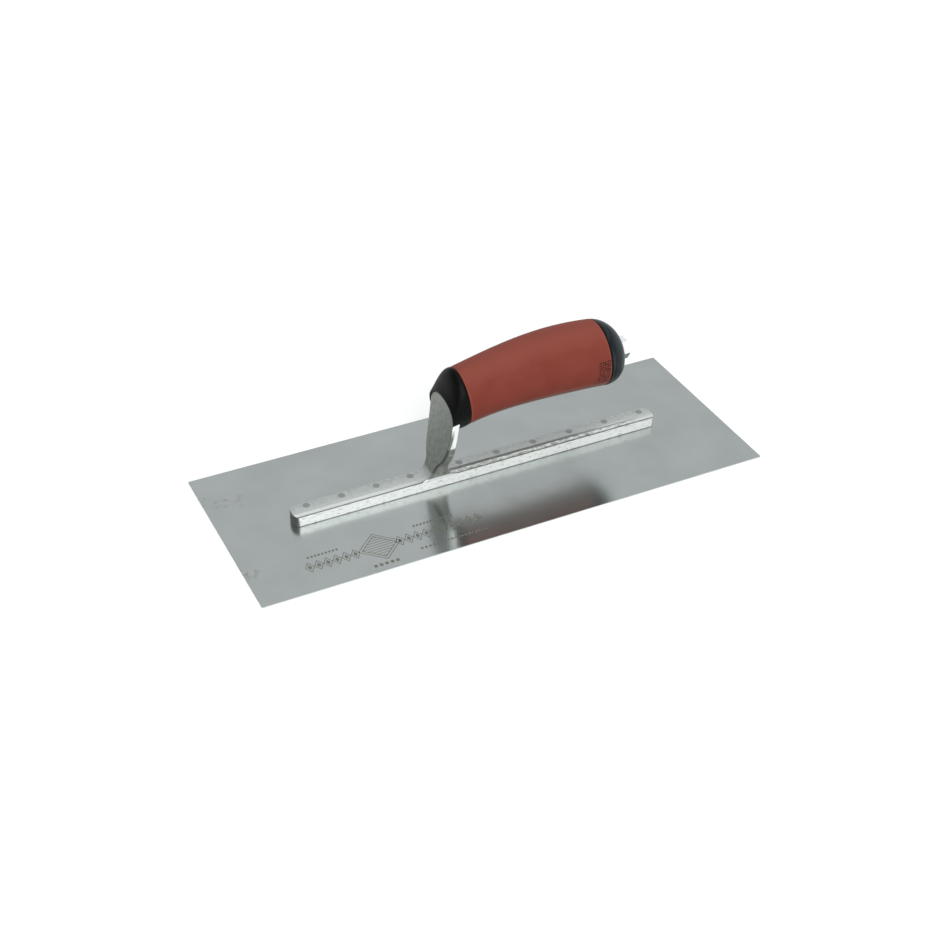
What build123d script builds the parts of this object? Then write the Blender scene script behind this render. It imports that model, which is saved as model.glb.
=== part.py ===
from build123d import *
import math
import os

# Steel finishing trowel, in millimetres.
# X runs along the blade towards the free end of the handle, Z is up.
# The origin is the middle of the blade's working face, which lies on Z = 0.

# ---- blade ----
blade_length = 330.2
blade_width = 127.0
blade_thickness = 0.7
blade_corner_radius = 0.8

# ---- mounting: bar, rib, shank and boss in one casting ----
bar_end_gap = 41.85
bar_end_bulge = 3.25
bar_base_width = 13.0
bar_top_width = 12.3
bar_height = 7.0
bar_bevel_width = 3.2
bar_bevel_drop = 0.6
bar_end_chamfer = 0.7

rib_front_y = -5.9
rib_back_y = -1.6
rib_crest_height = 1.1
rib_taper_crest_height = 0.6
rib_taper_end_gap = 27.25
rib_end_gap = 11.25
rib_sink = 0.25

shank_foot_front_x = -34.4
shank_foot_thickness = 10.4
shank_foot_half_width = 6.0
shank_foot_rise = 4.8
shank_foot_flare = 6.0
shank_waist_front_x = -28.3
shank_waist_thickness = 5.7
shank_waist_z = 33.0
shank_calf_half_width = 10.0
shank_calf_z = 20.7
shank_shoulder_half_width = 13.6
shank_shoulder_z = 31.0
shank_top_front_x = -25.4
shank_top_thickness = 6.0
shank_top_width = 30.8
shank_arch_centre_z = 51.0
shank_arch_height = 10.6
shank_edge_round = 0.7
shank_round_start_rise = 1.0
shank_root_depth = 1.2

boss_diameter = 16.0
boss_length = 11.0
boss_clearance = 0.2

# ---- rivets ----
rivet_diameter = 3.6
rivet_head_spread = 0.9
rivet_peen_spread = 0.4
rivet_row_y = 2.9
front_rivet_count = 4
front_rivet_end_gap = 10.95
front_rivet_toe_gap = 4.7
rear_rivet_count = 6
rear_rivet_end_gap = 7.55
rear_rivet_toe_gap = 5.7

# ---- handle ----
grip_front_x = -14.2
grip_length = 92.9
grip_bow_radius = 268.0
grip_crown_x = 47.5
grip_crown_z = 66.0
grip_front_tilt = 6.5
sleeve_wall = 3.0
handle_edge_round = 0.5

spigot_length = 3.0
spigot_clearance = 0.15

collar_shoulder_reach = 4.2
collar_shoulder_swell = 0.15
collar_shoulder_tilt = 4.0
collar_brow_reach_share = 0.56
collar_brow_drop_share = 0.43
collar_brow_shrink_share = 0.37
collar_lip = 1.0
collar_lip_proud = 0.5
collar_lip_lift = 1.5

tail_dome_radius = 15.6
tail_dome_sweep = 62.0
tail_dome_steps = 5
tail_crown_drop = 0.8
tail_crown_sweep = 100.0

# ---- tie rod and its fastening ----
rod_diameter = 7.94
rod_clearance = 0.2
rod_thread_depth = 13.5
rod_above_arch_centre = 3.5
rod_below_grip_centre = 2.7
washer_outer_diameter = 17.5
washer_thickness = 1.6
washer_clearance = 0.2
washer_seat_depth = 1.8
nut_across_flats = 12.7
nut_thickness = 6.75
nut_chamfer = 0.6
rod_end_inset = 0.4

# Oval sections of the handle: share of the grip's length, half height, half width.
grip_sections = [
    (-0.13, 18.5, 16.7),
    (0.0, 18.4, 16.5),
    (0.3, 19.5, 17.8),
    (0.6, 21.1, 19.4),
    (1.0, 21.3, 19.3),
    (1.12, 21.0, 19.1),
]

bar_length = blade_length - 2 * bar_end_gap
bar_half_length = bar_length / 2
bar_top_z = blade_thickness + bar_height
bar_half_top = bar_top_width / 2
shank_rear_x = shank_top_front_x + shank_top_thickness
shank_foot_z = bar_top_z + shank_foot_rise
shank_top_z = shank_arch_centre_z + shank_arch_height
shank_root_z = bar_top_z - shank_root_depth
grip_rear_x = grip_front_x + grip_length
rod_bore_radius = rod_diameter / 2 + rod_clearance
boss_bore_radius = boss_diameter / 2 + boss_clearance

shank_foot_rear_x = shank_foot_front_x + shank_foot_thickness
front_toe_x = shank_foot_front_x - shank_foot_flare
rear_toe_x = shank_foot_rear_x + shank_foot_flare


def even_row(first_x, last_x, count):
    """Evenly spaced places from the first to the last."""
    return [first_x + i * (last_x - first_x) / (count - 1) for i in range(count)]


front_row_start_x = front_rivet_end_gap - bar_half_length
front_row = even_row(front_row_start_x, front_toe_x - front_rivet_toe_gap, front_rivet_count)
rear_row_end_x = bar_half_length - rear_rivet_end_gap
rear_row = even_row(rear_toe_x + rear_rivet_toe_gap, rear_row_end_x, rear_rivet_count)


def grip_centre_z(x):
    """Height of the bowed handle's centre line at x."""
    return grip_crown_z - grip_bow_radius + math.sqrt(grip_bow_radius**2 - (x - grip_crown_x) ** 2)


def grip_slope(x):
    """Climb of the handle's centre line at x, in radians."""
    return math.asin((grip_crown_x - x) / grip_bow_radius)


def cross_plane(x, z, angle):
    """Plane across the handle at (x, z) whose normal climbs by an angle in radians."""
    return Plane(origin=(x, 0, z), x_dir=(0, 1, 0), z_dir=(math.cos(angle), 0, math.sin(angle)))


# The tie rod runs straight from the middle of the shank's top to the middle of the tail.
rod_front_z = shank_arch_centre_z + rod_above_arch_centre
rod_rise = grip_centre_z(grip_rear_x) - rod_below_grip_centre - rod_front_z
rod_angle = math.atan2(rod_rise, grip_rear_x - shank_rear_x)
rod_direction = Vector(math.cos(rod_angle), 0, math.sin(rod_angle))


def rod_plane(x):
    """Plane square to the tie rod and centred on it at x."""
    return cross_plane(x, rod_front_z + (x - shank_rear_x) * math.tan(rod_angle), rod_angle)


front_parting = cross_plane(grip_front_x, grip_centre_z(grip_front_x), math.radians(grip_front_tilt))
rear_parting = cross_plane(grip_rear_x, grip_centre_z(grip_rear_x), rod_angle)
tail_end_plane = rod_plane(grip_rear_x + tail_dome_radius * math.sin(math.radians(tail_dome_sweep)))
washer_plane = tail_end_plane.offset(-washer_seat_depth)
nut_plane = washer_plane.offset(washer_thickness)
boss_plane = rod_plane(shank_rear_x - shank_top_thickness / 2)
boss_reach = boss_length + shank_top_thickness / 2
thread_plane = rod_plane(shank_rear_x).offset(boss_length - rod_thread_depth)
rod_length = (nut_plane.origin - thread_plane.origin).length + nut_thickness - rod_end_inset


def handle_form(inset):
    """Bowed oval body of the handle, shrunk by an inset all round."""
    with BuildPart() as form:
        for share, half_height, half_width in grip_sections:
            x = grip_front_x + share * grip_length
            with BuildSketch(cross_plane(x, grip_centre_z(x), grip_slope(x))):
                Ellipse(half_width - inset, half_height - inset)
        loft()
    return form.part


def rod_cylinder(start, length, radius):
    """Round bar on the tie rod's axis, from a plane across it."""
    with BuildPart() as cylinder:
        with BuildSketch(start):
            Circle(radius)
        extrude(amount=length)
    return cylinder.part


def rivet_form(x):
    """Rivet with a cone head flush in the blade and a peened top flush in the bar."""
    body = rivet_diameter / 2
    head = body + rivet_head_spread
    peen = body + rivet_peen_spread
    with BuildPart() as rivet:
        with BuildSketch(Plane.XZ.offset(-rivet_row_y)):
            with BuildLine():
                Polyline(
                    (x, 0),
                    (x + head, 0),
                    (x + body, blade_thickness),
                    (x + body, bar_top_z - rivet_peen_spread),
                    (x + peen, bar_top_z),
                    (x, bar_top_z),
                    close=True,
                )
            make_face()
        revolve(axis=Axis((x, rivet_row_y, 0), (0, 0, 1)))
    return rivet.part


def spade_outline():
    """The shank seen from the front: narrow foot, broad shoulders and an arched top."""
    half_top = shank_top_width / 2
    with BuildSketch(Plane.YZ) as outline:
        with BuildLine():
            for side in (-1, 1):
                foot_y = side * shank_foot_half_width
                Line((foot_y, shank_root_z), (foot_y, shank_foot_z))
                Spline(
                    (foot_y, shank_foot_z),
                    (side * shank_calf_half_width, shank_calf_z),
                    (side * shank_shoulder_half_width, shank_shoulder_z),
                    (side * half_top, shank_arch_centre_z),
                    tangents=[(0, 1), (0, 1)],
                )
            EllipticalCenterArc((0, shank_arch_centre_z), half_top, shank_arch_height, arc_size=180)
            Line((-shank_foot_half_width, shank_root_z), (shank_foot_half_width, shank_root_z))
        make_face()
    return outline.sketch


def core_socket(end, keep):
    """Room for the core's spigot, up to the plane where the spigot ends."""
    with BuildPart() as room:
        add(handle_form(sleeve_wall - spigot_clearance))
        split(bisect_by=end, keep=keep)
    return room.part


def round_rim(piece, parting):
    """Rounds a handle piece's outer edge where it meets its neighbour at a parting."""
    level_faces = piece.faces().filter_by(parting)
    rim_face = level_faces.sort_by(lambda face: abs(parting.to_local_coords(face.center()).Z))[0]
    fillet(rim_face.outer_wire().edges(), radius=handle_edge_round)


rivets = [rivet_form(x) for x in front_row + rear_row]

# ---- blade: flat sheet with square edges, countersunk from below for the rivets ----
with BuildPart() as blade:
    with BuildSketch():
        RectangleRounded(blade_length, blade_width, blade_corner_radius)
    extrude(amount=blade_thickness)
    for rivet in rivets:
        add(rivet, mode=Mode.SUBTRACT)

# ---- shank: a web seen from the side, cut to a spade outline seen from the front ----
with BuildPart() as shank:
    waist_rear_x = shank_waist_front_x + shank_waist_thickness
    with BuildSketch(Plane.XZ):
        with BuildLine():
            front_face = ThreePointArc(
                (shank_foot_front_x, shank_foot_z),
                (shank_waist_front_x, shank_waist_z),
                (shank_top_front_x, shank_top_z),
            )
            rear_face = ThreePointArc(
                (shank_foot_rear_x, shank_foot_z),
                (waist_rear_x, shank_waist_z),
                (shank_rear_x, shank_top_z),
            )
            front_toe = (front_toe_x, bar_top_z)
            rear_toe = (rear_toe_x, bar_top_z)
            TangentArc(front_face @ 0, front_toe, tangent=(front_face % 0) * -1)
            TangentArc(rear_face @ 0, rear_toe, tangent=(rear_face % 0) * -1)
            Polyline(front_toe, (front_toe_x, shank_root_z), (rear_toe_x, shank_root_z), rear_toe)
            Line(front_face @ 1, rear_face @ 1)
        make_face()
    extrude(amount=shank_top_width, both=True)
    extrude(spade_outline(), amount=bar_length, both=True, mode=Mode.INTERSECT)
    round_start_z = shank_foot_z + shank_round_start_rise
    spade_edges = shank.edges().filter_by(lambda edge: edge.center().Z > round_start_z)
    fillet(spade_edges, radius=shank_edge_round)

# ---- mounting: drafted bar with rounded ends, the rough rib behind the shank, and the shank ----
with BuildPart() as mounting:
    half_base = bar_base_width / 2
    bevel_z = bar_top_z - bar_bevel_drop
    with BuildSketch(Plane.YZ):
        with BuildLine():
            Polyline(
                (-half_base, blade_thickness),
                (half_base, blade_thickness),
                (bar_half_top, bar_top_z),
                (bar_bevel_width - bar_half_top, bar_top_z),
                (-bar_half_top, bevel_z),
                close=True,
            )
        make_face()
    extrude(amount=bar_half_length, both=True)
    with BuildSketch():
        with BuildLine():
            half_straight = bar_half_length - bar_end_bulge
            for side in (-1, 1):
                ThreePointArc(
                    (side * half_straight, -half_base),
                    (side * bar_half_length, 0),
                    (side * half_straight, half_base),
                )
                Line((-half_straight, side * half_base), (half_straight, side * half_base))
        make_face()
    extrude(amount=bar_top_z, mode=Mode.INTERSECT)
    with BuildSketch(Plane.XZ):
        with BuildLine():
            shoulder_z = bar_top_z - bar_end_chamfer
            Polyline(
                (-bar_half_length, 0),
                (bar_half_length, 0),
                (bar_half_length, shoulder_z),
                (bar_half_length - bar_end_chamfer, bar_top_z),
                (bar_end_chamfer - bar_half_length, bar_top_z),
                (-bar_half_length, shoulder_z),
                close=True,
            )
        make_face()
    extrude(amount=bar_base_width, both=True, mode=Mode.INTERSECT)
    rib_sections = [
        (shank_foot_front_x + shank_foot_thickness / 2, rib_crest_height),
        (bar_half_length - rib_taper_end_gap, rib_taper_crest_height),
        (bar_half_length - rib_end_gap, -rib_sink),
    ]
    for x, crest in rib_sections:
        with BuildSketch(Plane.YZ.offset(x)):
            with BuildLine():
                Polyline(
                    (rib_front_y, bevel_z - rib_sink),
                    (rib_back_y, bar_top_z + crest),
                    (rib_back_y, shank_root_z - rib_sink),
                    (rib_front_y, shank_root_z - rib_sink),
                    close=True,
                )
            make_face()
    loft(ruled=True)
    add(shank.part)
    add(rod_cylinder(boss_plane, boss_reach, boss_diameter / 2))
    add(rod_cylinder(thread_plane, rod_thread_depth, rod_diameter / 2), mode=Mode.SUBTRACT)
    for rivet in rivets:
        add(rivet, mode=Mode.SUBTRACT)

# ---- tie rod, washer and hexagon nut at the free end of the handle ----
with BuildPart() as tie_rod:
    add(rod_cylinder(thread_plane, rod_length, rod_diameter / 2))

with BuildPart() as tail_washer:
    with BuildSketch(washer_plane):
        Circle(washer_outer_diameter / 2)
        Circle(rod_bore_radius, mode=Mode.SUBTRACT)
    extrude(amount=washer_thickness)

with BuildPart() as tail_nut:
    nut_corner_radius = nut_across_flats / math.sqrt(3)
    with BuildSketch(nut_plane):
        Circle(nut_corner_radius)
    extrude(amount=nut_thickness)
    chamfer(tail_nut.edges().filter_by(GeomType.CIRCLE), length=nut_chamfer)
    with BuildSketch(nut_plane):
        RegularPolygon(nut_corner_radius, side_count=6)
    extrude(amount=nut_thickness, mode=Mode.INTERSECT)
    with BuildSketch(nut_plane):
        Circle(rod_diameter / 2)
    extrude(amount=nut_thickness, mode=Mode.SUBTRACT)

# ---- handle core: hard plastic, with a plain spigot at each end and a stepped bore ----
with BuildPart() as handle_core:
    add(handle_form(sleeve_wall))
    split(bisect_by=front_parting.offset(-spigot_length), keep=Keep.TOP)
    split(bisect_by=rear_parting.offset(spigot_length), keep=Keep.BOTTOM)
    add(rod_cylinder(thread_plane, rod_length, rod_bore_radius), mode=Mode.SUBTRACT)
    add(rod_cylinder(boss_plane, boss_reach, boss_bore_radius), mode=Mode.SUBTRACT)

# ---- grip sleeve: soft skin moulded round the core between the two partings ----
with BuildPart() as grip_sleeve:
    add(handle_form(0))
    add(handle_form(sleeve_wall), mode=Mode.SUBTRACT)
    split(bisect_by=front_parting, keep=Keep.TOP)
    split(bisect_by=rear_parting, keep=Keep.BOTTOM)
    round_rim(grip_sleeve, front_parting)
    round_rim(grip_sleeve, rear_parting)

# ---- room in front of the shank, which the collar leaves open ----
with BuildPart() as shank_mouth:
    extrude(spade_outline(), amount=-bar_length)
    split(bisect_by=Plane.YZ.offset(shank_rear_x - shank_top_thickness / 2), keep=Keep.BOTTOM)

# ---- front collar: hard nose that slopes down to a thin lip round the top of the shank ----
with BuildPart() as front_collar:
    neck_skew = grip_slope(grip_front_x) - math.radians(grip_front_tilt)
    neck_half_height = grip_sections[1][1] / math.cos(neck_skew)
    neck_half_width = grip_sections[1][2]
    lip_x = shank_top_front_x - collar_lip_proud
    lip_half_width = shank_top_width / 2 + collar_lip
    lip_half_height = shank_arch_height + collar_lip - collar_lip_lift
    lip_centre_z = shank_arch_centre_z + collar_lip_lift
    shoulder_x = grip_front_x - collar_shoulder_reach
    shoulder_z = grip_centre_z(shoulder_x)
    shoulder_half_width = neck_half_width + collar_shoulder_swell
    shoulder_half_height = neck_half_height + collar_shoulder_swell
    brow_x = shoulder_x + collar_brow_reach_share * (lip_x - shoulder_x)
    brow_z = shoulder_z + collar_brow_drop_share * (lip_centre_z - shoulder_z)
    brow_growth = lip_half_width - shoulder_half_width, lip_half_height - shoulder_half_height
    brow_half_width = shoulder_half_width + collar_brow_shrink_share * brow_growth[0]
    brow_half_height = shoulder_half_height + collar_brow_shrink_share * brow_growth[1]
    shoulder_plane = cross_plane(shoulder_x, shoulder_z, math.radians(collar_shoulder_tilt))
    hood_sections = [
        (front_parting, neck_half_width, neck_half_height),
        (shoulder_plane, shoulder_half_width, shoulder_half_height),
        (cross_plane(brow_x, brow_z, 0), brow_half_width, brow_half_height),
        (cross_plane(lip_x, lip_centre_z, 0), lip_half_width, lip_half_height),
    ]
    for plane, half_width, half_height in hood_sections:
        with BuildSketch(plane):
            Ellipse(half_width, half_height)
    loft()

    add(core_socket(front_parting.offset(-spigot_length), Keep.TOP), mode=Mode.SUBTRACT)
    add(rod_cylinder(boss_plane, boss_reach, boss_bore_radius), mode=Mode.SUBTRACT)
    add(mounting.part, mode=Mode.SUBTRACT)
    add(shank_mouth.part, mode=Mode.SUBTRACT)
    round_rim(front_collar, front_parting)

# ---- rear cap: domed end with a seat for the washer ----
with BuildPart() as rear_cap:
    rear_half_height, rear_half_width = grip_sections[4][1], grip_sections[4][2]
    rear_half_height /= math.cos(rod_angle - grip_slope(grip_rear_x))
    for step in range(tail_dome_steps + 1):
        share = step / tail_dome_steps
        turn = math.radians(tail_dome_sweep * share)
        inset = tail_dome_radius * (1 - math.cos(turn))
        reach = tail_dome_radius * math.sin(turn)
        crown = tail_crown_drop * math.sin(math.radians(tail_crown_sweep * share))
        drop = rod_below_grip_centre * share + crown / 2
        centre = rear_parting.offset(reach).origin - rear_parting.y_dir * drop
        with BuildSketch(Plane(origin=centre, x_dir=rear_parting.x_dir, z_dir=rod_direction)):
            Ellipse(rear_half_width - inset, rear_half_height - inset - crown / 2)
    loft()
    add(core_socket(rear_parting.offset(spigot_length), Keep.BOTTOM), mode=Mode.SUBTRACT)
    add(rod_cylinder(thread_plane, rod_length, rod_bore_radius), mode=Mode.SUBTRACT)
    washer_seat_radius = washer_outer_diameter / 2 + washer_clearance
    add(rod_cylinder(washer_plane, tail_dome_radius, washer_seat_radius), mode=Mode.SUBTRACT)
    round_rim(rear_cap, rear_parting)

pieces = {
    "blade": blade.part,
    "mounting": mounting.part,
    "tie_rod": tie_rod.part,
    "handle_core": handle_core.part,
    "grip_sleeve": grip_sleeve.part,
    "front_collar": front_collar.part,
    "rear_cap": rear_cap.part,
    "tail_washer": tail_washer.part,
    "tail_nut": tail_nut.part,
}
pieces |= {f"rivet_{i:02d}": rivet for i, rivet in enumerate(rivets, start=1)}

os.makedirs("parts", exist_ok=True)
for name, piece in pieces.items():
    piece.label = name
    export_step(piece, f"parts/{name}.step")
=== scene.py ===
import math
import bmesh
import bpy
from mathutils import Matrix, Vector


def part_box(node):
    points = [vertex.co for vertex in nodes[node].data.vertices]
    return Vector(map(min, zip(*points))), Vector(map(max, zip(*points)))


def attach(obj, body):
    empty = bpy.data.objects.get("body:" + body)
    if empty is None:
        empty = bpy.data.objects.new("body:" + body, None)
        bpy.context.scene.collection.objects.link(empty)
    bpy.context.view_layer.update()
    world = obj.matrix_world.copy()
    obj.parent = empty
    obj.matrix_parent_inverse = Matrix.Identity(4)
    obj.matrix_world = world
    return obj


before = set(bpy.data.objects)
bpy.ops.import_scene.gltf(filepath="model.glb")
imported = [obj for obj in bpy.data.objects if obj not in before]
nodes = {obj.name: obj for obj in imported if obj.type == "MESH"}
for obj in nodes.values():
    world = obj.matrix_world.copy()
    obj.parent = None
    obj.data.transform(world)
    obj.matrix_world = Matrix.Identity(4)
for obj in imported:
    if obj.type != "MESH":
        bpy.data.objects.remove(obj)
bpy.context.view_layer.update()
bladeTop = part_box("blade")[1].z
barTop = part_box("rivet_01")[1].z  # the rivets are peened flush with the bar
scene = bpy.context.scene
scene.view_settings.view_transform = "Standard"

camera = {
    "azimuth": -27.339,  # degrees round Z from straight in front
    "elevation": 36.585,
    "roll": 1.167,
    "target": (-0.00457, -0.00371, 0.0),
    "distance": 0.9689,
    "lens": 59.98,
}


def linearColor(hexText):
    channels = [int(hexText[i:i + 2], 16) / 255 for i in (1, 3, 5)]
    linear = [c / 12.92 if c <= 0.04045 else ((c + 0.055) / 1.055) ** 2.4 for c in channels]
    return (*linear, 1.0)


def patternScale(millimetres):
    return 1000 / millimetres  # Object coordinates are metres


def addNode(tree, kind, settings=None, links=None):
    node = tree.nodes.new(kind)
    for name, value in (settings or {}).items():
        if isinstance(name, int) or name in node.inputs:
            node.inputs[name].default_value = value
        else:
            setattr(node, name, value)
    for name, source in (links or {}).items():
        tree.links.new(source, node.inputs[name])
    return node


def newMaterial(name, settings):
    material = bpy.data.materials.new(name)
    material.use_nodes = True
    tree = material.node_tree
    shader = tree.nodes["Principled BSDF"]
    for socket, value in settings.items():
        shader.inputs[socket].default_value = value
    place = addNode(tree, "ShaderNodeTexCoord").outputs["Object"]
    return material, tree, shader, place


def surfaceMeasures(tree, place):
    # where a point of the surface is, in metres, and which way it faces
    spot = addNode(tree, "ShaderNodeSeparateXYZ", None, {0: place})
    facing = addNode(tree, "ShaderNodeTexCoord").outputs["Normal"]
    normal = addNode(tree, "ShaderNodeSeparateXYZ", None, {0: facing})
    measures = {"x": spot.outputs["X"], "y": spot.outputs["Y"], "z": spot.outputs["Z"]}
    measures.update({"facing" + axis: normal.outputs[axis] for axis in "XYZ"})
    return measures


def maskWhere(tree, measures, limits, strength=1.0):
    # nothing before each measure's first limit, full strength past every second one
    mask = None
    for measure, start, full in limits:
        top = strength if mask is None else 1.0
        amount = addNode(tree, "ShaderNodeMapRange", {"From Min": start, "From Max": full, "To Max": top},
                         {"Value": measures[measure]}).outputs[0]
        if mask is not None:
            amount = addNode(tree, "ShaderNodeMath", {"operation": "MULTIPLY"},
                             {0: mask, 1: amount}).outputs[0]
        mask = amount
    return mask


def paintLayers(tree, measures, colour, layers):
    # each layer covers what is below it with one tone, or with two and a pattern between them
    masks = {}
    for name, layer in layers.items():
        mask = maskWhere(tree, measures, layer["where"], layer.get("strength", 1.0))
        settings, links = {"data_type": "RGBA"}, {0: mask, 6: colour}
        if "pattern" in layer:
            low, high = layer["tones"]
            tones = addNode(tree, "ShaderNodeMix", {"data_type": "RGBA", 6: linearColor(low),
                            7: linearColor(high)}, {0: measures[layer["pattern"]]})
            links[7] = tones.outputs[2]
        else:
            settings[7] = linearColor(layer["tones"])
        colour = addNode(tree, "ShaderNodeMix", settings, links).outputs[2]
        masks[name] = mask
    return colour, masks


def dress(nodeName, material):
    mesh = nodes[nodeName].data
    mesh.materials.clear()
    mesh.materials.append(material)


def placeCamera():
    azimuth, elevation = math.radians(camera["azimuth"]), math.radians(camera["elevation"])
    back = Vector((math.sin(azimuth) * math.cos(elevation),
                   -math.cos(azimuth) * math.cos(elevation),
                   math.sin(elevation)))
    right = Vector((math.cos(azimuth), math.sin(azimuth), 0))
    up = back.cross(right)
    roll = math.radians(camera["roll"])
    across = right * math.cos(roll) + up * math.sin(roll)
    upright = up * math.cos(roll) - right * math.sin(roll)
    data = bpy.data.cameras.new("studioCamera")
    data.lens = camera["lens"]
    data.sensor_width = 36
    data.clip_start = 0.01
    data.clip_end = 30
    holder = bpy.data.objects.new("studioCamera", data)
    turn = Matrix((across, upright, back)).transposed().to_4x4()
    turn.translation = Vector(camera["target"]) + back * camera["distance"]
    holder.matrix_world = turn
    scene.collection.objects.link(holder)
    scene.camera = holder


placeCamera()
print("camera placed")

studio = {
    "floorSize": 12.0,
    "floor": "#F4F4F3",
    "world": "#CFD2D3",
    "horizon": "#FFFFFF",
    "horizonFade": (0.08, 0.25),  # upward part of the direction where white turns to grey
    "aim": (0, 0, 0.03),
    "glow": 0.7,
    "glowFrom": 0.4,  # metres from the object
    "glowTo": 1.5,
    "worldStrength": 1.0,
    "lights": [
        # name, where it stands, size in metres, watts
        ("frontSoftbox", (-0.25, -1.45, 1.2), 1.6, 25),
        ("topSoftbox", (0.3, -0.15, 1.7), 1.5, 10),
    ],
}


def buildStudio():
    bm = bmesh.new()
    bmesh.ops.create_grid(bm, x_segments=1, y_segments=1, size=studio["floorSize"] / 2)
    mesh = bpy.data.meshes.new("studioFloor")
    bm.to_mesh(mesh)
    bm.free()
    floor = bpy.data.objects.new("studioFloor", mesh)
    scene.collection.objects.link(floor)
    material, tree, shader, place = newMaterial("mattPaperSweep", {
        "Base Color": linearColor(studio["floor"]), "Roughness": 0.9, "Specular IOR Level": 0.1})
    mesh.materials.append(material)
    # the sweep is lit evenly to its far end, where the softboxes no longer reach
    away = addNode(tree, "ShaderNodeVectorMath", {"operation": "LENGTH"}, {0: place})
    glow = addNode(tree, "ShaderNodeMapRange", {"From Min": studio["glowFrom"], "From Max": studio["glowTo"],
                   "To Max": studio["glow"]}, {"Value": away.outputs["Value"]})
    tree.links.new(glow.outputs[0], shader.inputs["Emission Strength"])
    shader.inputs["Emission Color"].default_value = linearColor(studio["floor"])
    for name, spot, size, watts in studio["lights"]:
        data = bpy.data.lights.new(name, "AREA")
        data.shape = "SQUARE"
        data.size = size
        data.energy = watts
        light = bpy.data.objects.new(name, data)
        light.location = spot
        light.rotation_euler = (Vector(studio["aim"]) - Vector(spot)).to_track_quat("-Z", "Y").to_euler()
        scene.collection.objects.link(light)
    world = bpy.data.worlds.new("studioSurround")
    world.use_nodes = True
    sky = world.node_tree
    background = sky.nodes["Background"]
    direction = addNode(sky, "ShaderNodeTexCoord").outputs["Generated"]
    height = addNode(sky, "ShaderNodeSeparateXYZ", None, {0: direction}).outputs["Z"]
    above = maskWhere(sky, {"height": height}, (("height", *studio["horizonFade"]),))
    shade = addNode(sky, "ShaderNodeMix", {"data_type": "RGBA", 6: linearColor(studio["horizon"]),
                    7: linearColor(studio["world"])}, {0: above})
    sky.links.new(shade.outputs[2], background.inputs["Color"])
    background.inputs["Strength"].default_value = studio["worldStrength"]
    scene.world = world


buildStudio()
print("studio ready")

bladeLook = {
    "steel": "#C9CECC",
    "dullSteel": "#B4BAB8",
    "stain": "#8C7A5C",
    "stainSpots": ((-0.161, 0.037), (-0.147, 0.034), (-0.162, -0.032)),
    "stainReach": 0.009,
    "stainBlotch": 4.0,  # mm
    "roughness": (0.17, 0.22),
    "smear": 0.55,  # how much the grinding lines stretch a reflection across the blade
    "brushWidth": 0.16,  # mm between grinding lines, coarser than real so that they show
    "brushLength": 18.0,
    "brushShare": 0.45,  # part that the lines have in the roughness, beside the clouds
    "brushDepth": 0.00002,
    "cloud": 38.0,  # mm across one patch of duller polish
}


def groundSpringSteel():
    # cold-rolled stainless strip, ground along its length and buffed: a soft mirror that smears across it
    material, tree, shader, place = newMaterial("groundSpringSteel", {
        "Metallic": 1.0, "Anisotropic": bladeLook["smear"]})
    across = addNode(tree, "ShaderNodeTangent", {"direction_type": "RADIAL", "axis": "X"})
    tree.links.new(across.outputs[0], shader.inputs["Tangent"])
    squeeze = bladeLook["brushWidth"] / bladeLook["brushLength"]
    stretch = addNode(tree, "ShaderNodeMapping", {"Scale": (squeeze, 1, 1)}, {"Vector": place})
    lines = addNode(tree, "ShaderNodeTexNoise", {"Scale": patternScale(bladeLook["brushWidth"]),
                    "Detail": 2.0}, {"Vector": stretch.outputs[0]})
    clouds = addNode(tree, "ShaderNodeTexNoise", {"Scale": patternScale(bladeLook["cloud"]), "Detail": 4.0},
                     {"Vector": place})
    blend = addNode(tree, "ShaderNodeMath", {"operation": "MULTIPLY_ADD", 1: bladeLook["brushShare"]},
                    {0: lines.outputs["Fac"], 2: clouds.outputs["Fac"]})
    smooth, dull = bladeLook["roughness"]
    rough = addNode(tree, "ShaderNodeMapRange", {"From Min": 0.45, "From Max": 1.0, "To Min": smooth,
                    "To Max": dull}, {"Value": blend.outputs[0]})
    tree.links.new(rough.outputs[0], shader.inputs["Roughness"])
    tone = addNode(tree, "ShaderNodeMapRange", {"From Min": 0.35, "From Max": 0.7, "To Max": 0.5},
                   {"Value": clouds.outputs["Fac"]})
    colour = addNode(tree, "ShaderNodeMix", {"data_type": "RGBA", 6: linearColor(bladeLook["steel"]),
                     7: linearColor(bladeLook["dullSteel"])}, {0: tone.outputs[0]}).outputs[2]
    blotch = addNode(tree, "ShaderNodeTexNoise", {"Scale": patternScale(bladeLook["stainBlotch"]),
                     "Detail": 5.0}, {"Vector": place})
    stain = {"tones": bladeLook["stain"], "strength": 0.55,
             "where": (("away", bladeLook["stainReach"], 0.0), ("blotch", 0.5, 0.62))}
    for x, y in bladeLook["stainSpots"]:  # faint water stains by the narrow edge
        away = addNode(tree, "ShaderNodeVectorMath", {"operation": "DISTANCE", 1: (x, y, 0)}, {0: place})
        measures = {"away": away.outputs["Value"], "blotch": blotch.outputs["Fac"]}
        colour = paintLayers(tree, measures, colour, {"stain": stain})[0]
    tree.links.new(colour, shader.inputs["Base Color"])
    bump = addNode(tree, "ShaderNodeBump", {"Strength": 0.06, "Distance": bladeLook["brushDepth"]},
                   {"Height": lines.outputs["Fac"]})
    tree.links.new(bump.outputs[0], shader.inputs["Normal"])
    return material


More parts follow.
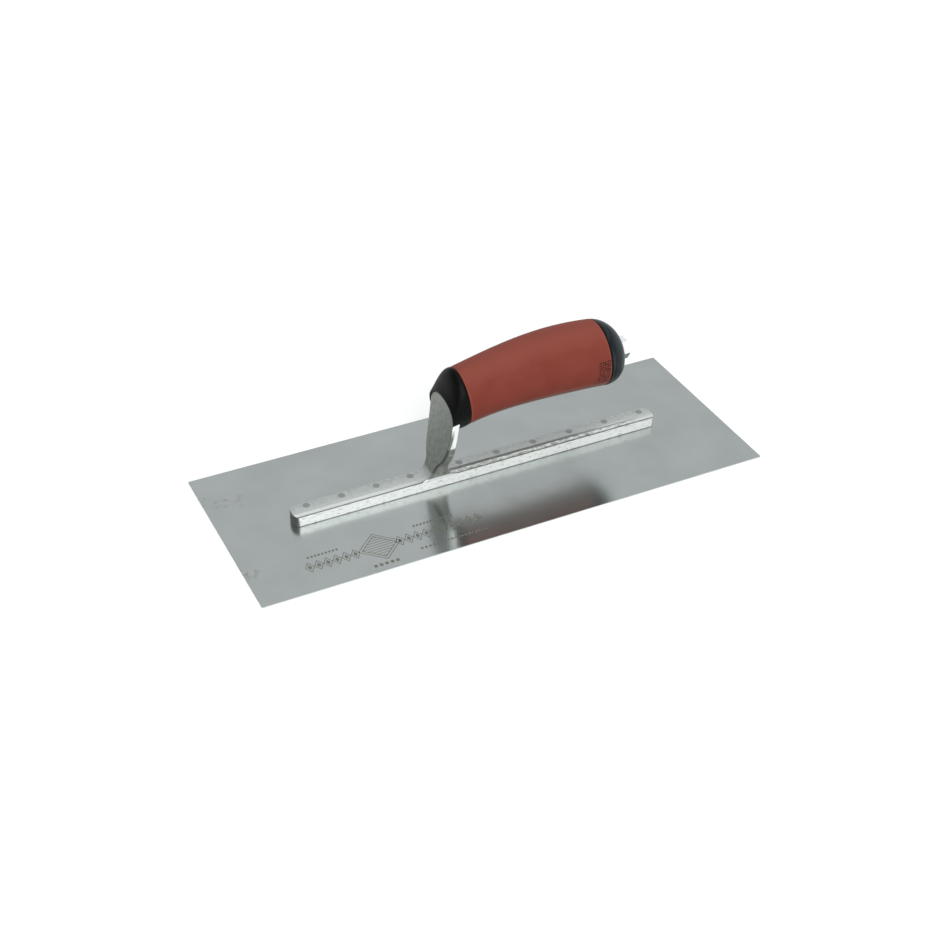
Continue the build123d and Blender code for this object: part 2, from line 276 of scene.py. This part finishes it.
onBar = ("z", barTop + 0.0006, barTop + 0.0001)  # leaves out the shank
pastFoot = ("x", -0.024, -0.016)  # behind the shank's foot
beforeTip = ("x", 0.112, 0.104)
castLook = {
    "top": ("#B3B7B5", "#C4C8C6"),
    "chalky": 0.35,  # how metallic the rough front and rib look
    "metallic": 0.9,
    "ribRoughness": 0.25,  # added on the rib
    "grit": 0.5,  # mm, sand-like grain of the skin
    "lump": 2.6,
    "streakLength": 3.4,  # mm along the bar, where the mould was dressed
    "streakWidth": 0.7,
    "streakDepth": 0.0003,
    "gritDepth": 0.00008,
    "shadeLine": -0.0027,  # y of the dark line behind the rib
    "shankFace": ((-0.0344, 0.0125), (-0.0283, 0.033), (-0.0254, 0.0616)),  # x, z down its front's middle
}
castLayers = {
    # painted highlight: the bar's top lighter towards its front edge
    "topHighlight": {"tones": "#D6DAD8", "strength": 0.9, "where": (("y", 0.0045, -0.0045), onBar)},
    # painted shade: the shank's front face darker than the bar's top, mottled by the cloud pattern
    "leafShade": {"tones": ("#777A75", "#8A8D88"), "pattern": "cloud",
             "where": (("facingX", -0.35, -0.7), ("z", 0.0085, 0.0125))},
    "rib": {"tones": ("#8F928E", "#DCE0DC"), "pattern": "ribStreak",
            "where": (("y", -0.0028, -0.0032), ("z", barTop - 0.0009, barTop - 0.0005), onBar,
                      pastFoot, beforeTip)},
    # painted shade line along the front edge of the bar's top
    "edgeShadeLine": {"tones": "#3A3C3B", "strength": 0.75,
                 "where": (("y", -0.0048, -0.0056), ("facingZ", 0.5, 0.8), onBar)},
    # painted highlight: the bar's streaked front face painted bright
    "front": {"tones": ("#B1B5B2", "#DFE1DF"), "pattern": "frontStreak",
              "where": (("facingY", -0.6, -0.85), onBar)},
    # painted contact shadow where the bar sits on the blade
    "contactShadow": {"tones": "#3A3C3B", "strength": 0.8,
                "where": (("z", bladeTop + 0.0007, bladeTop + 0.0003), ("facingY", -0.3, -0.6))},
    # painted shade: the bar's end face darker
    "end": {"tones": "#6A6C6B", "where": (("facingX", -0.5, -0.75), onBar)},
    # painted shade: the shank's lower flank darker, mottled by the cloud pattern
    "flankShade": {"tones": ("#6E6F6A", "#8E8F89"), "pattern": "cloud",
              "where": (("facingY", -0.2, -0.45), ("z", 0.033, 0.0315),
                        ("z", barTop + 0.0004, barTop + 0.001))},
    # painted highlight: the shank's upper flank painted near white
    "facetHighlight": {"tones": "#F4F6F5", "where": (("facingY", -0.5, -0.8), ("z", 0.0315, 0.033))},
    "ribShade": {"tones": "#3A3C3B", "strength": 0.6,
                 "where": (("fromShadeLine", 0.0007, 0.0002), ("z", barTop - 0.0002, barTop),
                           ("z", barTop + 0.002, barTop + 0.0015), pastFoot, beforeTip)},
    # painted shadow line where the flanks meet the front of the shank
    "creaseShadow": {"tones": "#3A3C3B", "strength": 0.85,
               "where": (("fromShankFace", 0.0024, 0.0015), ("facingY", -0.25, -0.6),
                         ("z", 0.010, 0.013), ("z", 0.047, 0.041))},
}


def circleThrough(a, b, c):
    (ax, az), (bx, bz), (cx, cz) = a, b, c
    scale = 2 * (ax * (bz - cz) + bx * (cz - az) + cx * (az - bz))
    aa, bb, cc = ax * ax + az * az, bx * bx + bz * bz, cx * cx + cz * cz
    x = (aa * (bz - cz) + bb * (cz - az) + cc * (az - bz)) / scale
    z = (aa * (cx - bx) + bb * (ax - cx) + cc * (bx - ax)) / scale
    return x, z, math.hypot(ax - x, az - z)


def measureCasting(tree, place, streak, lump):
    # the surface's own measures, its patterns, and how far it is from two painted shade lines
    measures = surfaceMeasures(tree, place)
    noises = {"streak": streak.outputs["Fac"], "lump": lump.outputs["Fac"]}
    measures["cloud"] = maskWhere(tree, noises, (("lump", 0.35, 0.65),))
    measures["ribStreak"] = maskWhere(tree, noises, (("streak", 0.4, 0.6),))
    measures["frontStreak"] = maskWhere(tree, noises, (("streak", 0.34, 0.46),))
    behind = addNode(tree, "ShaderNodeMath", {"operation": "SUBTRACT", 1: castLook["shadeLine"]},
                     {0: measures["y"]})
    x, z, radius = circleThrough(*castLook["shankFace"])
    flat = addNode(tree, "ShaderNodeVectorMath", {"operation": "MULTIPLY", 1: (1, 0, 1)}, {0: place})
    reach = addNode(tree, "ShaderNodeVectorMath", {"operation": "DISTANCE", 1: (x, 0, z)},
                    {0: flat.outputs[0]})
    depth = addNode(tree, "ShaderNodeMath", {"operation": "SUBTRACT", 1: radius},
                    {0: reach.outputs["Value"]})
    for name, distance in (("fromShadeLine", behind), ("fromShankFace", depth)):
        measures[name] = addNode(tree, "ShaderNodeMath", {"operation": "ABSOLUTE"},
                                 {0: distance.outputs[0]}).outputs[0]
    return measures


def tumbledAluminiumCasting():
    # sand-cast aluminium, tumbled: grey satin skin and a rough rib, with painted highlights on the streaked
    # front, the top and the upper flank, and painted shade on the shank's front face, the end, the lower
    # flank and in dark lines
    material, tree, shader, place = newMaterial("tumbledAluminiumCasting", {})
    grit = addNode(tree, "ShaderNodeTexNoise", {"Scale": patternScale(castLook["grit"]), "Detail": 3.0},
                   {"Vector": place})
    lump = addNode(tree, "ShaderNodeTexNoise", {"Scale": patternScale(castLook["lump"]), "Detail": 4.0},
                   {"Vector": place})
    squeeze = castLook["streakWidth"] / castLook["streakLength"]
    along = addNode(tree, "ShaderNodeMapping", {"Scale": (squeeze, 1, 1)}, {"Vector": place})
    streak = addNode(tree, "ShaderNodeTexNoise", {"Scale": patternScale(castLook["streakWidth"]),
                     "Detail": 3.0, "Distortion": 0.6}, {"Vector": along.outputs[0]})
    measures = measureCasting(tree, place, streak, lump)
    low, high = castLook["top"]
    top = addNode(tree, "ShaderNodeMix", {"data_type": "RGBA", 6: linearColor(low), 7: linearColor(high)},
                  {0: measures["cloud"]})
    colour, masks = paintLayers(tree, measures, top.outputs[2], castLayers)
    tree.links.new(colour, shader.inputs["Base Color"])
    ribAndFront = addNode(tree, "ShaderNodeMath", {"operation": "MAXIMUM"}, {0: masks["rib"], 1: masks["front"]})
    bare = addNode(tree, "ShaderNodeMapRange", {"To Min": castLook["metallic"], "To Max": castLook["chalky"]},
                   {"Value": ribAndFront.outputs[0]})
    tree.links.new(bare.outputs[0], shader.inputs["Metallic"])
    skin = addNode(tree, "ShaderNodeMapRange", {"From Min": 0.3, "From Max": 0.7, "To Min": 0.38,
                   "To Max": 0.5}, {"Value": grit.outputs["Fac"]})
    rough = addNode(tree, "ShaderNodeMath", {"operation": "MULTIPLY_ADD", 1: castLook["ribRoughness"]},
                    {0: masks["rib"], 2: skin.outputs[0]})
    tree.links.new(rough.outputs[0], shader.inputs["Roughness"])
    coarse = addNode(tree, "ShaderNodeBump", {"Strength": 0.35, "Distance": castLook["streakDepth"]},
                     {"Height": streak.outputs["Fac"]})
    fine = addNode(tree, "ShaderNodeBump", {"Strength": 0.4, "Distance": castLook["gritDepth"]},
                   {"Height": grit.outputs["Fac"], "Normal": coarse.outputs[0]})
    tree.links.new(fine.outputs[0], shader.inputs["Normal"])
    return material


rivetLook = {"dull": "#8E9291", "bright": "#A9ADAB", "hammerMark": 0.7, "markDepth": 0.0001}  # mark in mm


def peenedRivetSteel():
    # soft steel rivets hammered flush: dull grey discs
    material, tree, shader, place = newMaterial("peenedRivetSteel", {"Metallic": 1.0, "Roughness": 0.5})
    marks = addNode(tree, "ShaderNodeTexNoise", {"Scale": patternScale(rivetLook["hammerMark"]),
                    "Detail": 3.0}, {"Vector": place})
    colour = addNode(tree, "ShaderNodeMix", {"data_type": "RGBA", 6: linearColor(rivetLook["dull"]),
                     7: linearColor(rivetLook["bright"])}, {0: marks.outputs["Fac"]})
    tree.links.new(colour.outputs[2], shader.inputs["Base Color"])
    bump = addNode(tree, "ShaderNodeBump", {"Strength": 0.4, "Distance": rivetLook["markDepth"]},
                   {"Height": marks.outputs["Fac"]})
    tree.links.new(bump.outputs[0], shader.inputs["Normal"])
    return material


zincLook = {
    "plate": "#F2F4F4",
    "haze": 1.4,  # mm
    "roughness": (0.16, 0.34),
}
zincLayers = {
    # painted shade: darker on the chamfers and on the underside
    "chamferShade": {"tones": "#9DA2A1", "where": (("endwise", 0.2, 0.5),)},
    "undersideShade": {"tones": "#6F7371", "where": (("facingZ", 0.1, -0.4),)},
}


def zincPlatedSteel():
    # bright zinc plate on turned steel, with painted shade on the chamfers and on the underside
    material, tree, shader, place = newMaterial("zincPlatedSteel", {"Metallic": 0.5})
    haze = addNode(tree, "ShaderNodeTexNoise", {"Scale": patternScale(zincLook["haze"]), "Detail": 4.0},
                   {"Vector": place})
    bright, dull = zincLook["roughness"]
    rough = addNode(tree, "ShaderNodeMapRange", {"To Min": bright, "To Max": dull},
                    {"Value": haze.outputs["Fac"]})
    tree.links.new(rough.outputs[0], shader.inputs["Roughness"])
    measures = surfaceMeasures(tree, place)
    measures["endwise"] = addNode(tree, "ShaderNodeMath", {"operation": "ABSOLUTE"},
                                  {0: measures["facingX"]}).outputs[0]
    plate = addNode(tree, "ShaderNodeRGB")
    plate.outputs[0].default_value = linearColor(zincLook["plate"])
    colour = paintLayers(tree, measures, plate.outputs[0], zincLayers)[0]
    tree.links.new(colour, shader.inputs["Base Color"])
    return material


handleJoints = {
    # x and z of a point on each joint between grip and plastic, and the joint's tilt in degrees
    "front": (-0.0142, 0.05881, 6.5),
    "rear": (0.0787, 0.06419, 4.07),
}


def pastJoint(tree, place, joint):
    # metres behind the joint's plane, measured square to it
    x, z, tilt = handleJoints[joint]
    direction = (math.cos(math.radians(tilt)), 0, math.sin(math.radians(tilt)))
    start = x * direction[0] + z * direction[2]
    along = addNode(tree, "ShaderNodeVectorMath", {"operation": "DOT_PRODUCT", 1: direction}, {0: place})
    past = addNode(tree, "ShaderNodeMath", {"operation": "SUBTRACT", 1: start}, {0: along.outputs["Value"]})
    return past.outputs[0]


plasticLook = {
    "grain": 0.35,  # mm, spark-eroded mould texture
    "grainDepth": 0.00005,
    "sheenStreakWidth": 0.8,  # mm, streaks that run round the piece, in the roughness and painted lighter as highlight streaks
    "sheenStreakLength": 12.0,
    "groove": {"tones": "#010101", "where": (("depth", 0.0012, 0.0008),)},  # shadow gap at the grip
    "collar": {"tones": ("#020202", "#040505"), "gloss": 0.08, "joint": "front", "side": -1},
    # painted highlight streaks: the cap's lighter tone
    "cap": {"tones": ("#07090B", "#252D31"), "gloss": 0.1, "joint": "rear", "side": 1},
}


def mouldedPolypropylene(name, piece):
    # black polypropylene with a fine spark-eroded texture and streaks painted lighter as highlights, faint on
    # the collar and clear on the cap
    look = plasticLook[piece]
    material, tree, shader, place = newMaterial(name, {"Specular IOR Level": look["gloss"], "IOR": 1.49})
    grain = addNode(tree, "ShaderNodeTexNoise", {"Scale": patternScale(plasticLook["grain"]),
                    "Detail": 2.0}, {"Vector": place})
    squeeze = plasticLook["sheenStreakWidth"] / plasticLook["sheenStreakLength"]
    aroundPiece = addNode(tree, "ShaderNodeMapping", {"Scale": (1, squeeze, squeeze)}, {"Vector": place})
    sheenStreak = addNode(tree, "ShaderNodeTexNoise", {"Scale": patternScale(plasticLook["sheenStreakWidth"]),
                    "Detail": 4.0}, {"Vector": aroundPiece.outputs[0]})
    tone = addNode(tree, "ShaderNodeMapRange", {"From Min": 0.35, "From Max": 0.65},
                   {"Value": sheenStreak.outputs["Fac"]})
    low, high = look["tones"]
    colour = addNode(tree, "ShaderNodeMix", {"data_type": "RGBA", 6: linearColor(low),
                     7: linearColor(high)}, {0: tone.outputs[0]})
    depth = addNode(tree, "ShaderNodeMath", {"operation": "MULTIPLY", 1: look["side"]},
                    {0: pastJoint(tree, place, look["joint"])})
    colour = paintLayers(tree, {"depth": depth.outputs[0]}, colour.outputs[2],
                         {"groove": plasticLook["groove"]})[0]
    tree.links.new(colour, shader.inputs["Base Color"])
    rough = addNode(tree, "ShaderNodeMapRange", {"From Min": 0.3, "From Max": 0.7, "To Min": 0.3,
                    "To Max": 0.44}, {"Value": sheenStreak.outputs["Fac"]})
    tree.links.new(rough.outputs[0], shader.inputs["Roughness"])
    bump = addNode(tree, "ShaderNodeBump", {"Strength": 0.2, "Distance": plasticLook["grainDepth"]},
                   {"Height": grain.outputs["Fac"]})
    tree.links.new(bump.outputs[0], shader.inputs["Normal"])
    return material


gripLook = {
    "red": "#69281C",
    "worn": "#703025",
    "grain": 0.45,
    "grainDepth": 0.00008,
    "patch": 14.0,
    "markPlace": (0.0735, 0.0, 0.0615),  # middle of the sunk pattern near the rear end
    "markHalf": (0.0042, 0.0085),  # half its length along X and half its height
    "markCell": 1.6,  # mm between the small sunk pips
    "markDepth": 0.0003,
}
gripLayers = {
    # painted highlights where the skin ends and on its top, and a greyer tone underneath
    "frontRimHighlight": {"tones": "#7A372A", "where": (("fromFront", 0.0012, 0.00048),)},
    "rearRimHighlight": {"tones": "#7A372A", "where": (("fromRear", 0.0012, 0.00048),)},
    "crownHighlight": {"tones": "#78392E", "where": (("facingZ", 0.55, 0.95),)},
    "greyUnderside": {"tones": "#6B5F5A", "strength": 0.85, "where": (("facingZ", -0.45, -0.8),)},
}


def sunkPips(tree, place, measures):
    # a small patch of pips, on the near side only
    shift = addNode(tree, "ShaderNodeVectorMath", {"operation": "SUBTRACT", 1: gripLook["markPlace"]},
                    {0: place})
    size = addNode(tree, "ShaderNodeVectorMath", {"operation": "ABSOLUTE"}, {0: shift.outputs[0]})
    reach = addNode(tree, "ShaderNodeSeparateXYZ", None, {0: size.outputs[0]})
    flat = addNode(tree, "ShaderNodeVectorMath", {"operation": "MULTIPLY", 1: (1, 0, 1)}, {0: place})
    pips = addNode(tree, "ShaderNodeTexVoronoi", {"Scale": patternScale(gripLook["markCell"]),
                   "Randomness": 0.35}, {"Vector": flat.outputs[0]})
    mark = maskWhere(tree, {"distance": pips.outputs["Distance"]}, (("distance", 0.46, 0.36),))
    halfLength, halfHeight = gripLook["markHalf"]
    for measure, limit in ((reach.outputs["X"], halfLength), (reach.outputs["Z"], halfHeight),
                           (measures["facingY"], 0.0)):
        inside = addNode(tree, "ShaderNodeMath", {"operation": "LESS_THAN", 1: limit}, {0: measure})
        mark = addNode(tree, "ShaderNodeMath", {"operation": "MULTIPLY"},
                       {0: mark, 1: inside.outputs[0]}).outputs[0]
    return mark


def softGripElastomer():
    # styrene elastomer skin moulded over the core: matt, slightly lighter in random patches, with painted
    # highlights on top and at the ends
    material, tree, shader, place = newMaterial("softGripElastomer", {
        "Roughness": 0.7, "IOR": 1.48, "Specular IOR Level": 0.25})
    grain = addNode(tree, "ShaderNodeTexNoise", {"Scale": patternScale(gripLook["grain"]), "Detail": 3.0},
                    {"Vector": place})
    patch = addNode(tree, "ShaderNodeTexNoise", {"Scale": patternScale(gripLook["patch"]), "Detail": 5.0},
                    {"Vector": place})
    tone = addNode(tree, "ShaderNodeMapRange", {"From Min": 0.4, "From Max": 0.75},
                   {"Value": patch.outputs["Fac"]})
    colour = addNode(tree, "ShaderNodeMix", {"data_type": "RGBA", 6: linearColor(gripLook["red"]),
                     7: linearColor(gripLook["worn"])}, {0: tone.outputs[0]})
    measures = surfaceMeasures(tree, place)
    measures["fromFront"] = pastJoint(tree, place, "front")
    measures["fromRear"] = addNode(tree, "ShaderNodeMath", {"operation": "MULTIPLY", 1: -1},
                                   {0: pastJoint(tree, place, "rear")}).outputs[0]
    colour = paintLayers(tree, measures, colour.outputs[2], gripLayers)[0]
    mark = sunkPips(tree, place, measures)
    colour = addNode(tree, "ShaderNodeMix", {"data_type": "RGBA", 7: linearColor("#2E0803")},
                     {0: mark, 6: colour})
    tree.links.new(colour.outputs[2], shader.inputs["Base Color"])
    sunk = addNode(tree, "ShaderNodeBump", {"Strength": 0.6, "Distance": gripLook["markDepth"],
                   "invert": True}, {"Height": mark})
    bump = addNode(tree, "ShaderNodeBump", {"Strength": 0.35, "Distance": gripLook["grainDepth"]},
                   {"Height": grain.outputs["Fac"], "Normal": sunk.outputs[0]})
    tree.links.new(bump.outputs[0], shader.inputs["Normal"])
    return material


etchLook = {
    "tint": "#83847A",
    "dark": "#6C6D62",
    "bite": 0.5,  # mm, speckle of the acid
    "height": 0.00002,
    "line": 0.00045,
    "bandFill": 0.45,  # size of the solid diamond inside each outlined one
    "bandCentre": (-0.0755, -0.0430),
    "bandTileCount": 20,
    "bandTile": (0.0058, 0.0092),
    "bandPitch": 0.0056,
    "lozenge": (-0.0855, -0.0425, 0.0135, 0.0125),  # x, y, half width, half height
    "lozengeOutlines": (1.0, 0.82),
    "bandGap": 0.75,  # part of the lozenge's half width that the diamonds keep clear of
    "hatchCount": 9,
    "hatchSpan": 1.5,
    "hatchReach": 0.78,
    # rows of short strokes: first x, y, count, pitch, stroke width, stroke height
    "dashRows": ((-0.1265, -0.0345, 9, 0.0022, 0.0013, 0.0016),
                 (-0.0600, -0.0340, 12, 0.0022, 0.0013, 0.0016),
                 (-0.0945, -0.0580, 5, 0.0034, 0.0020, 0.0022),
                 (-0.0640, -0.0545, 5, 0.0026, 0.0014, 0.0018),
                 (-0.0490, -0.0540, 13, 0.0022, 0.0013, 0.0016)),
}


def acidEtchedSteel():
    # lines bitten into the polished blade: matt and slightly brown
    material, tree, shader, place = newMaterial("acidEtchedSteel", {"Metallic": 0.8, "Roughness": 0.62})
    bite = addNode(tree, "ShaderNodeTexNoise", {"Scale": patternScale(etchLook["bite"]), "Detail": 2.0},
                   {"Vector": place})
    colour = addNode(tree, "ShaderNodeMix", {"data_type": "RGBA", 6: linearColor(etchLook["dark"]),
                     7: linearColor(etchLook["tint"])}, {0: bite.outputs["Fac"]})
    tree.links.new(colour.outputs[2], shader.inputs["Base Color"])
    return material


def addOutline(bm, corners, line):
    verts = [bm.verts.new((x, y, bladeTop)) for x, y in corners]
    face = bm.faces.new(verts)
    face.normal_update()
    rim = bmesh.ops.inset_region(bm, faces=[face], thickness=line, use_even_offset=True, use_boundary=True)
    bmesh.ops.delete(bm, geom=[face], context="FACES")
    return rim["faces"]


def buildEtchedPattern():
    # a plain ornamental border: diamonds either side of a hatched lozenge, and rows of short strokes
    bm = bmesh.new()
    centreX, centreY = etchLook["bandCentre"]
    width, height = etchLook["bandTile"]
    middleX, middleY, halfWidth, halfHeight = etchLook["lozenge"]
    count = etchLook["bandTileCount"]
    for i in range(count):
        x = centreX + (i - (count - 1) / 2) * etchLook["bandPitch"]
        if abs(x - middleX) < halfWidth * etchLook["bandGap"]:
            continue
        addOutline(bm, [(x - width / 2, centreY), (x, centreY - height / 2),
                        (x + width / 2, centreY), (x, centreY + height / 2)], etchLook["line"])
        inner = etchLook["bandFill"]
        verts = [bm.verts.new((x + sx * width * inner / 2, centreY + sy * height * inner / 2, bladeTop))
                 for sx, sy in ((-1, 0), (0, -1), (1, 0), (0, 1))]
        bm.faces.new(verts)
    for share in etchLook["lozengeOutlines"]:
        addOutline(bm, [(middleX - halfWidth * share, middleY), (middleX, middleY - halfHeight * share),
                        (middleX + halfWidth * share, middleY), (middleX, middleY + halfHeight * share)],
                   etchLook["line"])
    hatch = etchLook["hatchCount"]
    for i in range(hatch):
        offset = (i - (hatch - 1) / 2) / hatch * etchLook["hatchSpan"]
        reach = (etchLook["hatchReach"] - abs(offset)) * halfWidth
        if reach <= 0:
            continue
        y = middleY + offset * halfHeight
        verts = [bm.verts.new((middleX + sx * reach, y + sy * etchLook["line"] / 2, bladeTop))
                 for sx, sy in ((-1, -1), (1, -1), (1, 1), (-1, 1))]
        bm.faces.new(verts)
    for firstX, y, count, pitch, strokeWidth, strokeHeight in etchLook["dashRows"]:
        for i in range(count):
            x = firstX + i * pitch
            verts = [bm.verts.new((x + sx * strokeWidth / 2, y + sy * strokeHeight / 2, bladeTop))
                     for sx, sy in ((-1, -1), (1, -1), (1, 1), (-1, 1))]
            bm.faces.new(verts)
    raised = bmesh.ops.extrude_face_region(bm, geom=bm.faces[:])
    top = [item for item in raised["geom"] if isinstance(item, bmesh.types.BMVert)]
    bmesh.ops.translate(bm, verts=top, vec=(0, 0, etchLook["height"]))
    bmesh.ops.recalc_face_normals(bm, faces=bm.faces[:])
    mesh = bpy.data.meshes.new("etchedBorder")
    bm.to_mesh(mesh)
    bm.free()
    piece = bpy.data.objects.new("etchedBorder", mesh)
    scene.collection.objects.link(piece)
    mesh.materials.append(acidEtchedSteel())
    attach(piece, "root")


buildEtchedPattern()
print("border etched")

steel = groundSpringSteel()
casting = tumbledAluminiumCasting()
rivetSteel = peenedRivetSteel()
zinc = zincPlatedSteel()
collarPlastic = mouldedPolypropylene("mouldedPolypropylene", "collar")
capPlastic = mouldedPolypropylene("sheenStreakedPolypropylene", "cap")
redRubber = softGripElastomer()
for name in nodes:
    if name.startswith("rivet"):
        dress(name, rivetSteel)
dress("blade", steel)
dress("mounting", casting)
for name in ("tie_rod", "tail_washer", "tail_nut"):
    dress(name, zinc)
for name in ("handle_core", "front_collar"):
    dress(name, collarPlastic)
dress("rear_cap", capPlastic)
dress("grip_sleeve", redRubber)
print("materials on")
